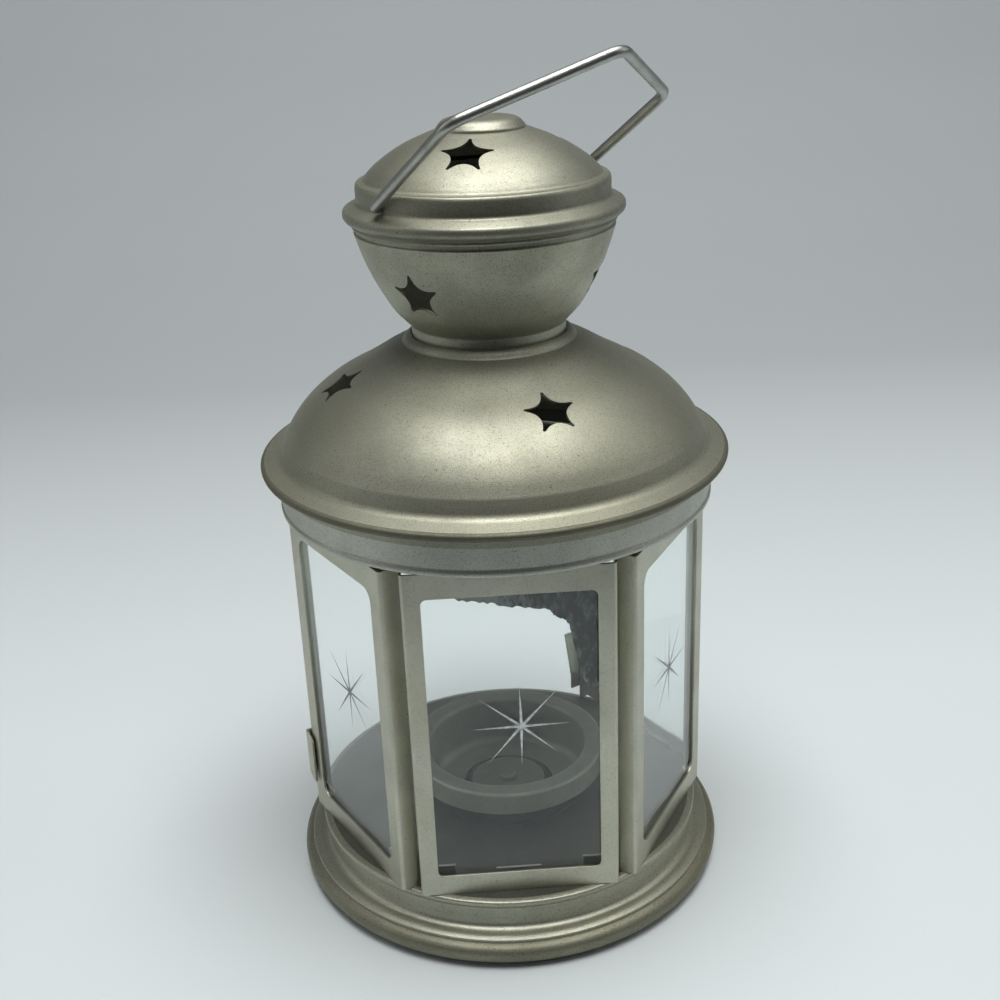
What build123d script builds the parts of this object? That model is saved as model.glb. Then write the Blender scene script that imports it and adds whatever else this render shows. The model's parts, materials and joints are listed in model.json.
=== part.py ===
from build123d import *
from math import cos, hypot, radians, sin, tan
import os

os.makedirs("parts", exist_ok=True)

# Punched tin lantern: a six-sided glazed cage between a round base and a domed roof, with a vent bowl,
# a cap and a wire bail. Four sides are glazed and the two at the back are open. Millimetres, +Z up, the
# front panel faces -Y, and Z is 0 where the base rests.

# Sheet, glass and wire
sheet = 0.6
glass_thickness = 1.8
wire_radius = 1.2
running_gap = 0.05
seat_gap = 0.05
rivet_radius = 1.2

# Cage: framed panels on the even sides and stamped ones, standing further out, on the odd sides
cage_apothem = 44.8
stamped_step = 0.7
frame_corner_gap = 2.3
stamped_corner_gap = 3.41
wall_clearance = 0.4
cage_height = 84.4
frame_border = 4.3
stamped_border = 4.8
border_below = 5.3
border_above = 6.2
frame_window_round = 1.4
stamped_window_round = 3.2
bend_radius = 0.9
glass_side_gap = 1.5
glass_end_gap = 2.2
clip_reach = 7.8
clip_height = 5.0
clip_show = 1.8

# Base: foot with a rolled bead, and the plinth that stands in it
plinth_inset = 2.4
bead_over = 6.5
bead_mid_height = 3.95
foot_flange_height = 6.2
foot_flange_inset = 4.4
foot_shoulder_inset = 1.9
foot_rest_inset = 2.7
foot_rest_width = 1.2
pan_inset = 6.4
pan_height = 1.6
ledge_inset = 0.3
ledge_rise = 0.6
cove_over = 1.2
cove_rise = 1.3
plinth_lip_over = 0.8
plinth_lip_drop = 1.8
floor_height = 15.2

# Candle cup
cup_radius = 20.4
cup_lip_over = 4.9
cup_rise = 13.8
cup_skirt_drop = 6.4
cup_floor_fillet = 2.6
boss_inset = 9.6
boss_rise = 1.1
rivet_head_over = 1.1
rivet_head_rise = 1.6

# Ears on the two rear posts
ear_rise = 7.6
ear_height = 14.4
ear_slant = 2.3
ear_chamfer = 1.8
ear_hook = 2.5
ear_stand = 0.45
ear_root = 4.9
tab_rise = 4.0
tab_height = 18.4
tab_step = 4.4
tab_reach = 4.7
tab_foot_reach = 2.7
tab_root = 3.0

# Cage top ring and roof collar
ring_lip_clearance = 0.25
ring_width = 5.4
ring_inset = 2.5
collar_over = 0.6
collar_rise = 1.5
collar_height = 8.2
collar_bead = 0.35
collar_bead_height = 1.2
web_rise = 3.4
web_lap = 2.9

# Roof dome
skirt_lap = 1.3
rim_over = 3.55
rim_edge_inset = 1.6
brim_inset = 3.3
rim_under_rise = 0.5
rim_mid_rise = 1.5
rim_edge_rise = 1.7
brim_rise = 0.9
dome_rise = 24.85
dome_top_over = 2.3
neck_radius = 17.9
neck_rise = 1.9
neck_drop = 2.6
dome_shares = ((0.34, 0.213), (0.575, 0.368), (0.747, 0.529), (0.87, 0.69), (0.961, 0.857))

# Vent bowl
bowl_neck_rise = 2.0
bowl_radius = 29.6
bowl_rise = 21.9
bowl_lip_inset = 0.4
bowl_lip_rise = 3.2
bowl_shares = ((0.055, 0.045), (0.19, 0.11), (0.33, 0.195), (0.44, 0.29), (0.625, 0.47), (0.785, 0.655),
               (0.91, 0.84))

# Cap: band with its flange, dome and button
cap_bead_rise = 1.3
cap_bead_height = 0.8
flange_over = 2.2
flange_rise = 1.9
flange_edge_inset = 0.6
flange_edge_rise = 1.1
band_inset = 1.0
band_rise = 1.5
band_height = 4.4
band_lip_width = 3.4
cap_foot_inset = 0.9
cap_dome_inset = 2.4
cap_seat_radius = 10.4
cap_seat_rise = 10.2
cap_shares = ((0.11, 0.19), (0.24, 0.36), (0.38, 0.52), (0.57, 0.7), (0.79, 0.86))
button_inset = 0.5
button_rise = 2.5

# Punched stars, each placed by a share of the way out and of the way up or down its form
star_radius = 5.7
star_waist_share = 0.5
dome_star_turns = (18, 116, 198, 280.2)
dome_star_shares = (0.503, 0.324)
bowl_star_turns = (-39.6, 74, 189.4)
bowl_star_shares = (0.62, 0.486)
cap_star_turns = (-13.1, 106.9, 226.9)
cap_star_shares = (0.47, 0.71)

# Bail
bail_turn = -52.2
bail_lean = 54.7
bail_over = 1.9
bail_grip = 2.2
bail_leg = 32.7
bail_peak = 20.4
bail_pivot_rise = 1.5
bail_foot_bend = 1.7
bail_shoulder_bend = 4.0

# Places that follow from these sizes, from the floor of the cage to the top
stamped_apothem = cage_apothem + stamped_step
frame_half = cage_apothem * tan(radians(30)) - frame_corner_gap
stamped_half = stamped_apothem * tan(radians(30)) - stamped_corner_gap
frame_wall = frame_corner_gap * tan(radians(60)) - wall_clearance
stamped_wall = stamped_corner_gap * tan(radians(60)) - wall_clearance
corner_radius = hypot(stamped_apothem, stamped_half)
cage_top = floor_height + cage_height
window_bottom = floor_height + border_below
window_top = cage_top - border_above
plinth_wall_radius = corner_radius - plinth_inset
plinth_lip_radius = plinth_wall_radius + plinth_lip_over
cove_radius = plinth_wall_radius + cove_over
bead_radius = plinth_wall_radius + bead_over
foot_shoulder_radius = bead_radius - foot_shoulder_inset
foot_rest_radius = bead_radius - foot_rest_inset
pan_radius = bead_radius - pan_inset
cup_lip_radius = cup_radius + cup_lip_over
cup_lip_height = floor_height + cup_rise
ring_lip_radius = cage_apothem - sheet - seat_gap - ring_lip_clearance
web_height = cage_top + web_rise
collar_radius = corner_radius + collar_over
collar_bottom = cage_top + collar_rise
collar_top = collar_bottom + collar_height
skirt_radius = collar_radius + sheet + seat_gap
rim_radius = skirt_radius + rim_over
rim_edge_radius = rim_radius - rim_edge_inset
brim_radius = rim_edge_radius - brim_inset
rim_under_height = collar_top + rim_under_rise
rim_mid_height = rim_under_height + rim_mid_rise
rim_edge_height = rim_mid_height + rim_edge_rise
brim_height = rim_edge_height + brim_rise
dome_top = brim_height + dome_rise
dome_top_radius = neck_radius + dome_top_over
neck_top = dome_top + neck_rise
bowl_neck_top = neck_top + bowl_neck_rise
bowl_top = bowl_neck_top + bowl_rise
bowl_lip_radius = bowl_radius - bowl_lip_inset
cap_bead_radius = bowl_lip_radius + sheet + 2 * seat_gap
cap_bead_bottom = bowl_top + cap_bead_rise
cap_bead_top = cap_bead_bottom + cap_bead_height
flange_radius = bowl_radius + flange_over
flange_mid_height = cap_bead_top + flange_rise
flange_edge_radius = flange_radius - flange_edge_inset
flange_edge_height = flange_mid_height + flange_edge_rise
band_radius = bowl_radius - band_inset
band_bottom = flange_edge_height + band_rise
band_top = band_bottom + band_height
cap_dome_radius = band_radius - cap_dome_inset
cap_seat_height = band_top + cap_seat_rise
bail_pivot_height = band_bottom + bail_pivot_rise
bail_half = band_radius + bail_over


def beside(points, gap):
    """The line of points moved square to itself, to the right of its way for a positive gap."""
    moved = []
    for k, (x, y) in enumerate(points):
        before = points[max(k - 1, 0)]
        after = points[min(k + 1, len(points) - 1)]
        along = hypot(after[0] - before[0], after[1] - before[1])
        moved.append((x + gap * (after[1] - before[1]) / along, y - gap * (after[0] - before[0]) / along))
    return moved


def between(start, end, shares):
    """Points at shares of the way from start to end, one share for the radius and one for the height."""
    return [(start[0] + a * (end[0] - start[0]), start[1] + b * (end[1] - start[1])) for a, b in shares]


def facing(turn):
    """Upright plane through the axis, with its normal pointing out at the turn."""
    out = (sin(radians(turn)), -cos(radians(turn)), 0)
    return Plane(origin=(0, 0, 0), x_dir=(cos(radians(turn)), sin(radians(turn)), 0), z_dir=out)


def spot(turn, side, depth):
    """Plan position at a distance to the side and a depth out from the axis, seen at the turn."""
    a = radians(turn)
    return (side * cos(a) + depth * sin(a), side * sin(a) - depth * cos(a))


def star_outline(radius, waist):
    """Corners of a five-pointed star with one point up."""
    return [((radius if k % 2 == 0 else waist) * sin(radians(36 * k)),
             (radius if k % 2 == 0 else waist) * cos(radians(36 * k))) for k in range(10)]


# Foot of the base: a shallow pan whose edge is rolled into the large bead
foot_line = [(bead_radius - foot_flange_inset, foot_flange_height), (foot_shoulder_radius, foot_flange_height)]
foot_curve = [(foot_shoulder_radius, foot_flange_height),
              (bead_radius - (bead_radius - foot_shoulder_radius) / 4,
               bead_mid_height + (foot_flange_height - bead_mid_height) * 2 / 3),
              (bead_radius, bead_mid_height),
              (bead_radius - (bead_radius - foot_rest_radius) / 4, bead_mid_height / 3),
              (foot_rest_radius + foot_rest_width / 2, 0)]
foot_under = [(foot_rest_radius + foot_rest_width / 2, 0), (foot_rest_radius - foot_rest_width / 2, 0),
              (pan_radius + pan_height / 2, pan_height), (pan_radius, pan_height), (0, pan_height)]
foot_path = foot_line + foot_curve[1:] + foot_under[1:]
foot_inner = beside(foot_path, sheet)
foot_inner[-1] = (0, pan_height + sheet)
foot_split = len(foot_line) - 1
foot_end = foot_split + len(foot_curve) - 1
with BuildPart() as base_foot:
    with BuildSketch(Plane.XZ):
        with BuildLine():
            Polyline(*foot_line)
            Spline(*foot_curve)
            Polyline(*foot_under)
            Line(foot_under[-1], foot_inner[-1])
            Polyline(*foot_inner[foot_end:])
            Spline(*foot_inner[foot_split:foot_end + 1])
            Polyline(*foot_inner[:foot_split + 1])
            Line(foot_line[0], foot_inner[0])
        make_face()
    revolve(axis=Axis.Z)
base_foot.part.label = "base_foot"
export_step(base_foot.part, "parts/base_foot.step")

# Plinth: ledge, cove, wall, rounded lip and the flat floor
ledge_height = foot_flange_height + sheet
ledge_radius = foot_shoulder_radius - ledge_inset
plinth_path = [(ledge_radius, ledge_height), ((ledge_radius + cove_radius) / 2, ledge_height + ledge_rise),
               (cove_radius, ledge_height + ledge_rise),
               (plinth_wall_radius + sheet / 2, ledge_height + cove_rise),
               (plinth_wall_radius, ledge_height + 2 * cove_rise),
               (plinth_wall_radius, floor_height - plinth_lip_drop),
               (plinth_lip_radius - sheet / 2, floor_height - plinth_lip_drop * 0.7),
               (plinth_lip_radius, floor_height - plinth_lip_drop * 0.35),
               (plinth_lip_radius - sheet / 2, floor_height - plinth_lip_drop * 0.08),
               (plinth_wall_radius, floor_height), (0, floor_height)]
plinth_inner = beside(plinth_path, -sheet)
plinth_inner[-1] = (0, floor_height - sheet)
plinth_inner[0] = (ledge_radius, foot_flange_height)
with BuildPart() as base_plinth:
    with BuildSketch(Plane.XZ):
        with BuildLine():
            Polyline(*plinth_path)
            Polyline(*plinth_inner)
            Line(plinth_path[0], plinth_inner[0])
            Line(plinth_path[-1], plinth_inner[-1])
        make_face()
    revolve(axis=Axis.Z)
    with BuildSketch(Plane.XY.offset(floor_height - 2 * sheet)):
        Circle(rivet_radius + running_gap)
    extrude(amount=3 * sheet, mode=Mode.SUBTRACT)
base_plinth.part.label = "base_plinth"
export_step(base_plinth.part, "parts/base_plinth.step")

# Candle cup: outer skirt, rolled lip, straight wall, rounded corner and raised centre
cup_floor = floor_height + sheet
boss_height = cup_floor + boss_rise
boss_radius = cup_radius - boss_inset
lip_round = sheet + rivet_radius / 2
cup_path = [(cup_lip_radius, cup_lip_height - cup_skirt_drop), (cup_lip_radius, cup_lip_height - lip_round),
            (cup_lip_radius - lip_round / 2, cup_lip_height - lip_round / 6),
            (cup_lip_radius - 1.4 * lip_round, cup_lip_height),
            (cup_radius + lip_round, cup_lip_height - lip_round / 6),
            (cup_radius + lip_round / 4, cup_lip_height - lip_round / 2),
            (cup_radius, cup_lip_height - lip_round),
            (cup_radius, cup_floor + cup_floor_fillet),
            (cup_radius - cup_floor_fillet * 0.29, cup_floor + cup_floor_fillet * 0.29),
            (cup_radius - cup_floor_fillet, cup_floor),
            (boss_radius + boss_rise / 2, cup_floor), (boss_radius - boss_rise / 2, boss_height),
            (rivet_radius + running_gap, boss_height)]
cup_inner = beside(cup_path, -sheet)
with BuildPart() as candle_cup:
    with BuildSketch(Plane.XZ):
        with BuildLine():
            Polyline(*cup_path)
            Polyline(*cup_inner)
            Line(cup_path[0], cup_inner[0])
            Line(cup_path[-1], cup_inner[-1])
        make_face()
    revolve(axis=Axis.Z)
candle_cup.part.label = "candle_cup"
export_step(candle_cup.part, "parts/candle_cup.step")

# Rivet through the cup and the plinth floor
rivet_head_radius = rivet_radius + rivet_head_over
with BuildPart() as cup_rivet:
    with BuildSketch(Plane.XZ):
        with BuildLine():
            Line((0, boss_height + rivet_head_rise), (0, floor_height - sheet - rivet_radius))
            Line((0, floor_height - sheet - rivet_radius),
                 (rivet_head_radius, floor_height - sheet - rivet_radius))
            Line((rivet_head_radius, floor_height - sheet - rivet_radius),
                 (rivet_head_radius, floor_height - sheet))
            Line((rivet_head_radius, floor_height - sheet), (rivet_radius, floor_height - sheet))
            Line((rivet_radius, floor_height - sheet), (rivet_radius, boss_height))
            Line((rivet_radius, boss_height), (rivet_head_radius, boss_height))
            Spline((rivet_head_radius, boss_height),
                   (rivet_head_radius * 0.72, boss_height + rivet_head_rise * 0.68),
                   (0, boss_height + rivet_head_rise), tangents=[(0, 1), (-1, 0)])
        make_face()
    revolve(axis=Axis.Z)
cup_rivet.part.label = "cup_rivet"
export_step(cup_rivet.part, "parts/cup_rivet.step")

# Panels of the cage, each with its pane and the clips bent in behind it. The sides that are None are open
framed = (cage_apothem, frame_half, frame_wall, frame_border, frame_window_round)
stamped = (stamped_apothem, stamped_half, stamped_wall, stamped_border, stamped_window_round)
cage_sides = ("front", "right", "rear_right", None, None, "left")
for place, name in enumerate(cage_sides):
    if name is None:
        continue
    turn = 60 * place
    apothem, half, wall, border, window_round = (framed, stamped)[place % 2]
    flat = Plane.XY.offset(floor_height).rotated((0, 0, turn))
    front = facing(turn)
    with BuildPart() as panel:
        with BuildSketch(flat):
            with Locations((0, wall / 2 - apothem)):
                outline = Rectangle(2 * half, wall)
            fillet(outline.vertices().group_by(Axis.Y)[0], bend_radius)
        extrude(amount=cage_height)
        with BuildSketch(flat):
            with Locations((0, sheet + wall - apothem)):
                hollow = Rectangle(2 * (half - sheet), 2 * wall)
            fillet(hollow.vertices().group_by(Axis.Y)[0], bend_radius - sheet)
        extrude(amount=cage_height, mode=Mode.SUBTRACT)
        with BuildSketch(front.offset(apothem - 2 * sheet)):
            with Locations((0, (window_bottom + window_top) / 2)):
                RectangleRounded(2 * (half - border), window_top - window_bottom, window_round)
        extrude(amount=3 * sheet, mode=Mode.SUBTRACT)
    panel.part.label = f"panel_{name}"
    export_step(panel.part, f"parts/panel_{name}.step")

    with BuildPart() as pane:
        with BuildSketch(front.offset(apothem - sheet - glass_thickness)):
            with Locations((0, (floor_height + cage_top) / 2)):
                Rectangle(2 * (half - sheet - glass_side_gap), cage_height - 2 * glass_end_gap)
        extrude(amount=glass_thickness)
    pane.part.label = f"glass_{name}"
    export_step(pane.part, f"parts/glass_{name}.step")

    with BuildPart() as clips:
        with BuildSketch(front.offset(apothem - 2 * sheet - glass_thickness)):
            for side in (-1, 1):
                for height in (window_bottom + clip_show - clip_height / 2, window_top + clip_height / 2):
                    with Locations((side * (half - sheet - clip_reach / 2), height)):
                        Rectangle(clip_reach, clip_height)
        extrude(amount=sheet)
    clips.part.label = f"clips_{name}"
    export_step(clips.part, f"parts/clips_{name}.step")

# Left ear: a strip on the rear wall of the left panel, with a hook that stands off round its corner
ear_turn = 60 * cage_sides.index("left")
ear_bottom = floor_height + ear_rise
ear_top = ear_bottom + ear_height
ear_wall = Plane(origin=(*spot(ear_turn, -stamped_half, 0), 0),
                 x_dir=(sin(radians(ear_turn)), -cos(radians(ear_turn)), 0),
                 z_dir=(-cos(radians(ear_turn)), -sin(radians(ear_turn)), 0))
with BuildPart() as left_ear:
    with BuildSketch(ear_wall):
        with BuildLine():
            Polyline((stamped_apothem - ear_root, ear_bottom + ear_chamfer),
                     (stamped_apothem + ear_stand + sheet, ear_bottom + ear_chamfer),
                     (stamped_apothem + ear_stand + sheet, ear_top),
                     (stamped_apothem - ear_root, ear_top), close=True)
        make_face()
    extrude(amount=sheet)
    with BuildSketch(facing(ear_turn).offset(stamped_apothem + ear_stand)):
        with BuildLine():
            Polyline((-stamped_half - sheet, ear_top), (ear_hook - stamped_half, ear_top - ear_slant),
                     (ear_hook - stamped_half, ear_bottom), (ear_chamfer - stamped_half - sheet, ear_bottom),
                     (-stamped_half - sheet, ear_bottom + ear_chamfer), close=True)
        make_face()
    extrude(amount=sheet)
left_ear.part.label = "left_ear"
export_step(left_ear.part, "parts/left_ear.step")

# Right ear: a flat tab on the rear wall of the rear right panel that reaches into the open back
tab_turn = 60 * cage_sides.index("rear_right")
tab_bottom = floor_height + tab_rise
tab_top = tab_bottom + tab_height
tab_wall = Plane(origin=(*spot(tab_turn, frame_half, 0), 0),
                 x_dir=(-sin(radians(tab_turn)), cos(radians(tab_turn)), 0),
                 z_dir=(cos(radians(tab_turn)), sin(radians(tab_turn)), 0))
with BuildPart() as right_ear:
    with BuildSketch(tab_wall):
        with BuildLine():
            Polyline((frame_wall - cage_apothem - tab_root, tab_bottom),
                     (frame_wall - cage_apothem + tab_foot_reach, tab_bottom),
                     (frame_wall - cage_apothem + tab_foot_reach, tab_bottom + tab_step),
                     (frame_wall - cage_apothem + tab_reach, tab_top),
                     (frame_wall - cage_apothem - tab_root, tab_top), close=True)
        make_face()
    extrude(amount=sheet)
right_ear.part.label = "right_ear"
export_step(right_ear.part, "parts/right_ear.step")

# Ring on top of the cage: a plate on the panel walls with an upturned lip that carries the collar
with BuildPart() as cage_ring:
    with BuildSketch(Plane.XY.offset(cage_top)):
        RegularPolygon(cage_apothem - sheet - seat_gap, 6, major_radius=False)
        Circle(collar_radius - ring_inset, mode=Mode.INTERSECT)
        Circle(ring_lip_radius - ring_width, mode=Mode.SUBTRACT)
    extrude(amount=sheet)
    with BuildSketch(Plane.XY.offset(cage_top + sheet)):
        Circle(ring_lip_radius)
        Circle(ring_lip_radius - sheet, mode=Mode.SUBTRACT)
    extrude(amount=web_rise - sheet)
cage_ring.part.label = "cage_ring"
export_step(cage_ring.part, "parts/cage_ring.step")

# Roof collar: skirt with a beaded lower edge and a web that rests on the cage ring
web_inner = ring_lip_radius - web_lap
with BuildPart() as roof_collar:
    with BuildSketch(Plane.XZ):
        with BuildLine():
            Polyline((collar_radius - sheet, collar_bottom), (collar_radius + collar_bead * 0.5, collar_bottom),
                     (collar_radius + collar_bead, collar_bottom + collar_bead_height * 0.3),
                     (collar_radius + collar_bead, collar_bottom + collar_bead_height * 0.7),
                     (collar_radius, collar_bottom + collar_bead_height * 1.3),
                     (collar_radius, collar_top), (collar_radius - sheet, collar_top),
                     (collar_radius - sheet, web_height + sheet), (web_inner, web_height + sheet),
                     (web_inner, web_height), (collar_radius - sheet, web_height),
                     (collar_radius - sheet, collar_bottom))
        make_face()
    revolve(axis=Axis.Z)
roof_collar.part.label = "roof_collar"
export_step(roof_collar.part, "parts/roof_collar.step")

# Roof dome: upstand round the neck, domed top, narrow brim, rolled rim and skirt over the collar
upstand_radius = neck_radius + seat_gap + sheet
dome_start = (dome_top_radius, dome_top)
dome_curve = [dome_start] + between(dome_start, (brim_radius, brim_height), dome_shares)
dome_curve = dome_curve + [(brim_radius, brim_height)]
upstand = [(upstand_radius, neck_top), (upstand_radius, neck_top - sheet), dome_start]
rim = [(brim_radius, brim_height), (rim_edge_radius, rim_edge_height),
       ((rim_edge_radius + 3 * rim_radius) / 4, (rim_edge_height + rim_mid_height) / 2),
       (rim_radius, rim_mid_height), (rim_radius - sheet, rim_under_height + sheet / 2),
       (skirt_radius + sheet / 2, rim_under_height - sheet / 2), (skirt_radius, rim_under_height - 2 * sheet),
       (skirt_radius, collar_top - skirt_lap)]
dome_path = upstand + dome_curve[1:] + rim[1:]
dome_inner = beside(dome_path, sheet)
dome_split = len(upstand) - 1
dome_end = dome_split + len(dome_curve) - 1
with BuildPart() as roof_dome:
    with BuildSketch(Plane.XZ):
        with BuildLine():
            Polyline(*upstand)
            Spline(*dome_curve)
            Polyline(*rim)
            Line(rim[-1], dome_inner[-1])
            Polyline(*dome_inner[dome_end:])
            Spline(*dome_inner[dome_split:dome_end + 1])
            Polyline(*dome_inner[:dome_split + 1])
            Line(upstand[0], dome_inner[0])
        make_face()
    revolve(axis=Axis.Z)
    star_height = dome_top - dome_star_shares[1] * dome_rise
    star_out = dome_top_radius + dome_star_shares[0] * (brim_radius - dome_top_radius)
    for turn in dome_star_turns:
        out = (sin(radians(turn)), -cos(radians(turn)), 0)
        rise = Vector(*out) * 0.5 + Vector(0, 0, 0.866)
        top = Vector(*out) * star_out + Vector(0, 0, star_height)
        with BuildSketch(Plane(origin=top - rise * star_radius, x_dir=(-out[1], out[0], 0), z_dir=rise)):
            with BuildLine():
                Polyline(*star_outline(star_radius, star_radius * star_waist_share), close=True)
            make_face()
        extrude(amount=2 * star_radius, mode=Mode.SUBTRACT)
roof_dome.part.label = "roof_dome"
export_step(roof_dome.part, "parts/roof_dome.step")

# Vent bowl: neck tube, flared bowl and an inner lip that the cap sits round
bowl_start = (neck_radius, bowl_neck_top)
bowl_curve = [bowl_start] + between(bowl_start, (bowl_radius, bowl_top), bowl_shares)
bowl_curve = bowl_curve + [(bowl_radius, bowl_top)]
bowl_neck = [(neck_radius, dome_top - neck_drop), bowl_start]
bowl_lip = [(bowl_radius, bowl_top), (bowl_lip_radius, bowl_top + sheet / 2), (bowl_lip_radius, bowl_top + bowl_lip_rise)]
bowl_path = bowl_neck + bowl_curve[1:] + bowl_lip[1:]
bowl_inner = beside(bowl_path, -sheet)
bowl_split = len(bowl_neck) - 1
bowl_end = bowl_split + len(bowl_curve) - 1
with BuildPart() as vent_bowl:
    with BuildSketch(Plane.XZ):
        with BuildLine():
            Polyline(*bowl_neck)
            Spline(*bowl_curve)
            Polyline(*bowl_lip)
            Line(bowl_lip[-1], bowl_inner[-1])
            Polyline(*bowl_inner[bowl_end:])
            Spline(*bowl_inner[bowl_split:bowl_end + 1])
            Polyline(*bowl_inner[:bowl_split + 1])
            Line(bowl_neck[0], bowl_inner[0])
        make_face()
    revolve(axis=Axis.Z)
    star_height = bowl_neck_top + bowl_star_shares[1] * bowl_rise
    star_out = neck_radius + bowl_star_shares[0] * (bowl_radius - neck_radius)
    for turn in bowl_star_turns:
        out = (sin(radians(turn)), -cos(radians(turn)), 0)
        rise = Vector(*out) * 0.87 - Vector(0, 0, 0.49)
        middle = Vector(*out) * star_out + Vector(0, 0, star_height)
        with BuildSketch(Plane(origin=middle - rise * star_radius, x_dir=(-out[1], out[0], 0), z_dir=rise)):
            with BuildLine():
                Polyline(*star_outline(star_radius, star_radius * star_waist_share), close=True)
            make_face()
        extrude(amount=2 * star_radius, mode=Mode.SUBTRACT)
vent_bowl.part.label = "vent_bowl"
export_step(vent_bowl.part, "parts/vent_bowl.step")

# Cap band: bead, flange, plain band with the two bail holes and an inward lip on top
band_path = [(cap_bead_radius, cap_bead_bottom), (cap_bead_radius, cap_bead_top),
             (cap_bead_radius + sheet, cap_bead_top + sheet / 3),
             (flange_radius - sheet / 3, (cap_bead_top + flange_mid_height) / 2),
             (flange_radius, flange_mid_height), (flange_edge_radius, flange_edge_height),
             (band_radius + sheet / 2, band_bottom - sheet / 3), (band_radius, band_bottom),
             (band_radius, band_top - sheet), (band_radius - sheet, band_top), (band_radius - band_lip_width, band_top)]
band_inner = beside(band_path, -sheet)
pivot_plane = Plane(origin=(0, 0, bail_pivot_height), x_dir=(cos(radians(bail_turn)), sin(radians(bail_turn)), 0),
                    z_dir=(sin(radians(bail_turn)), -cos(radians(bail_turn)), 0))
with BuildPart() as cap_band:
    with BuildSketch(Plane.XZ):
        with BuildLine():
            Polyline(*band_path)
            Polyline(*band_inner)
            Line(band_path[0], band_inner[0])
            Line(band_path[-1], band_inner[-1])
        make_face()
    revolve(axis=Axis.Z)
    with BuildSketch(pivot_plane):
        Circle(wire_radius + running_gap)
    extrude(amount=band_radius + flange_radius, both=True, mode=Mode.SUBTRACT)
cap_band.part.label = "cap_band"
export_step(cap_band.part, "parts/cap_band.step")

# Cap dome: flat foot on the band's lip, domed top and the flat seat for the button
cap_start = (cap_dome_radius, band_top + 2 * sheet)
cap_curve = [cap_start] + between(cap_start, (cap_seat_radius, cap_seat_height), cap_shares)
cap_curve = cap_curve + [(cap_seat_radius, cap_seat_height)]
cap_foot = [(band_radius - cap_foot_inset, band_top + sheet), (cap_dome_radius + sheet, band_top + sheet), cap_start]
cap_seat = [(cap_seat_radius, cap_seat_height), (0, cap_seat_height)]
cap_path = cap_foot + cap_curve[1:] + cap_seat[1:]
cap_inner = beside(cap_path, -sheet)
cap_inner[-1] = (0, cap_seat_height - sheet)
cap_split = len(cap_foot) - 1
cap_end = cap_split + len(cap_curve) - 1
with BuildPart() as cap_dome:
    with BuildSketch(Plane.XZ):
        with BuildLine():
            Polyline(*cap_foot)
            Spline(*cap_curve)
            Polyline(*cap_seat)
            Line(cap_seat[-1], cap_inner[-1])
            Polyline(*cap_inner[cap_end:])
            Spline(*cap_inner[cap_split:cap_end + 1])
            Polyline(*cap_inner[:cap_split + 1])
            Line(cap_foot[0], cap_inner[0])
        make_face()
    revolve(axis=Axis.Z)
    star_height = band_top + cap_star_shares[1] * cap_seat_rise
    star_out = cap_seat_radius + cap_star_shares[0] * (cap_dome_radius - cap_seat_radius)
    for turn in cap_star_turns:
        out = (sin(radians(turn)), -cos(radians(turn)), 0)
        rise = Vector(*out) * 0.45 + Vector(0, 0, 0.893)
        top = Vector(*out) * star_out + Vector(0, 0, star_height)
        with BuildSketch(Plane(origin=top - rise * star_radius, x_dir=(-out[1], out[0], 0), z_dir=rise)):
            with BuildLine():
                Polyline(*star_outline(star_radius, star_radius * star_waist_share), close=True)
            make_face()
        extrude(amount=2 * star_radius, mode=Mode.SUBTRACT)
cap_dome.part.label = "cap_dome"
export_step(cap_dome.part, "parts/cap_dome.step")

# Button on top of the cap
button_radius = cap_seat_radius - button_inset
button_top = cap_seat_height + button_rise
with BuildPart() as cap_button:
    with BuildSketch(Plane.XZ):
        with BuildLine():
            Polyline((button_radius * 0.62, button_top), (0, button_top), (0, cap_seat_height),
                     (button_radius, cap_seat_height), (button_radius, cap_seat_height + button_rise * 0.2))
            ThreePointArc((button_radius, cap_seat_height + button_rise * 0.2),
                          (button_radius * 0.87, cap_seat_height + button_rise * 0.74),
                          (button_radius * 0.62, button_top))
        make_face()
    revolve(axis=Axis.Z)
cap_button.part.label = "cap_button"
export_step(cap_button.part, "parts/cap_button.step")

# Bail: one wire with its ends turned in through the band, two legs, two shoulders and a peak
bail_plane = Plane(origin=(0, 0, bail_pivot_height),
                   x_dir=(sin(radians(bail_turn)), -cos(radians(bail_turn)), 0),
                   z_dir=(-cos(radians(bail_turn)) * cos(radians(bail_lean)),
                          -sin(radians(bail_turn)) * cos(radians(bail_lean)), sin(radians(bail_lean))))
bail_end_radius = band_radius - bail_grip
with BuildPart() as bail:
    with BuildLine(bail_plane) as bail_line:
        FilletPolyline((bail_end_radius, 0), (bail_half, 0), (bail_half, bail_leg / 2), radius=bail_foot_bend)
        FilletPolyline((bail_half, bail_leg / 2), (bail_half, bail_leg), (0, bail_leg + bail_peak),
                       (-bail_half, bail_leg), (-bail_half, bail_leg / 2), radius=bail_shoulder_bend)
        FilletPolyline((-bail_half, bail_leg / 2), (-bail_half, 0), (-bail_end_radius, 0), radius=bail_foot_bend)
    with BuildSketch(Plane(origin=bail_line.line @ 0, z_dir=bail_line.line % 0)):
        Circle(wire_radius)
    sweep()
bail.part.label = "bail"
export_step(bail.part, "parts/bail.step")
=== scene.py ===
import bpy
import bmesh
import json
from math import cos, pi, radians, sin
from mathutils import Matrix, Vector


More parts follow.
